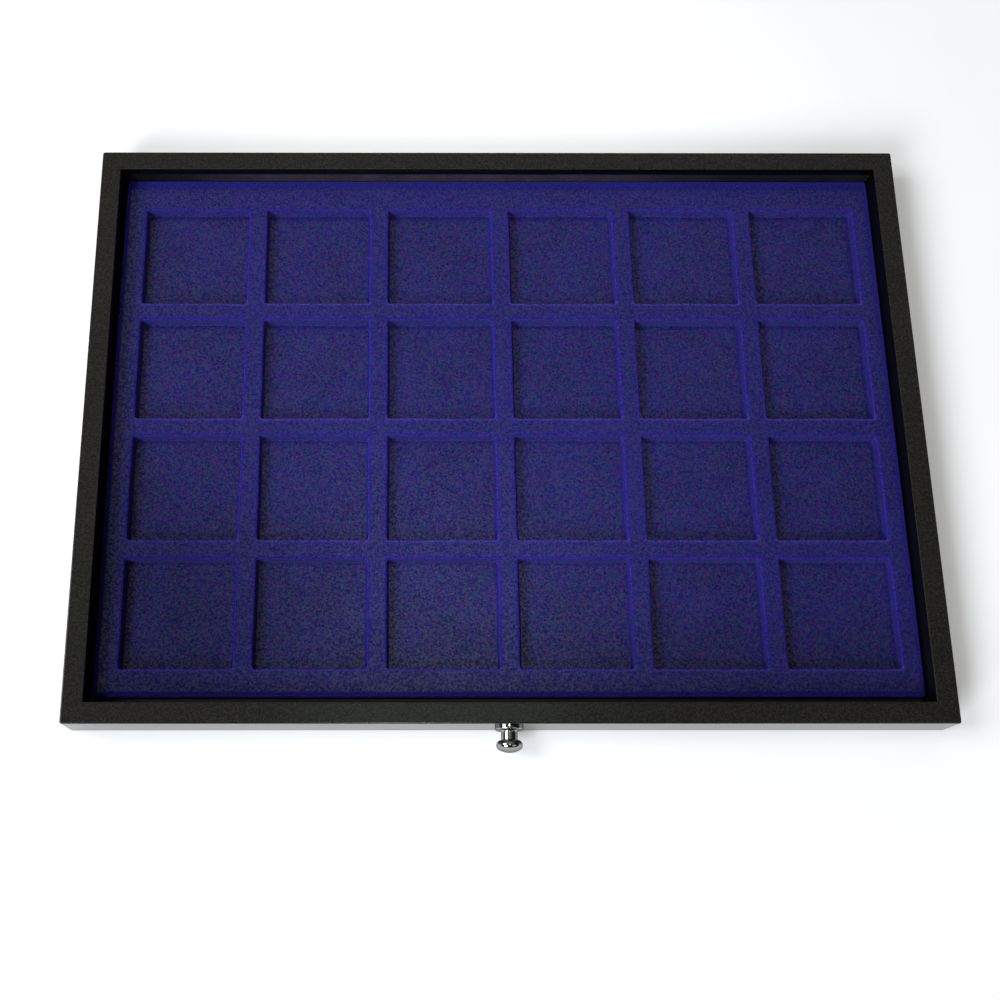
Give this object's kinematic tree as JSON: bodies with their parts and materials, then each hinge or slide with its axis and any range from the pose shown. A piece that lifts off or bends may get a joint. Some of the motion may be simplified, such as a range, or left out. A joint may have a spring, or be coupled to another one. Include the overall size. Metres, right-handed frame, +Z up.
{
  "type": "mineral specimen tray",
  "caption": "Black lacquered specimen tray with a chrome front knob and a lift-out blue flocked insert of square pockets.",
  "frame": {"origin": "middle of the whole footprint, knob included, on the surface that the tray stands on", "axes": "+X to the right along the front, +Y from the knob side to the back, +Z up"},
  "size_m": [0.385, 0.2896, 0.02],
  "materials": {
    "lacquer": "wood fibre board sprayed with satin black lacquer, glossy on the outer faces",
    "plywood": "bare plywood",
    "panel_board": "hardboard, black faced",
    "pin_steel": "bright wire",
    "flock": "thin pressed plastic sheet covered with dark blue flock",
    "knob_chrome": "polished",
    "screw_steel": "zinc plated"
  },
  "bodies": {
    "frame": {"front_rail": "lacquer", "back_rail": "lacquer", "left_rail": "lacquer", "right_rail": "lacquer", "corner_keys": "plywood", "bottom_panel": "panel_board", "panel_pins": "pin_steel", "knob": "knob_chrome", "knob_screw": "screw_steel"},
    "insert": {"insert_tray": "flock"}
  },
  "joints": [
    {"name": "insert_lift", "type": "slide", "parent": "frame", "child": "insert", "axis": [0, 0, 1], "range_m": [0, 0.06]}
  ]
}
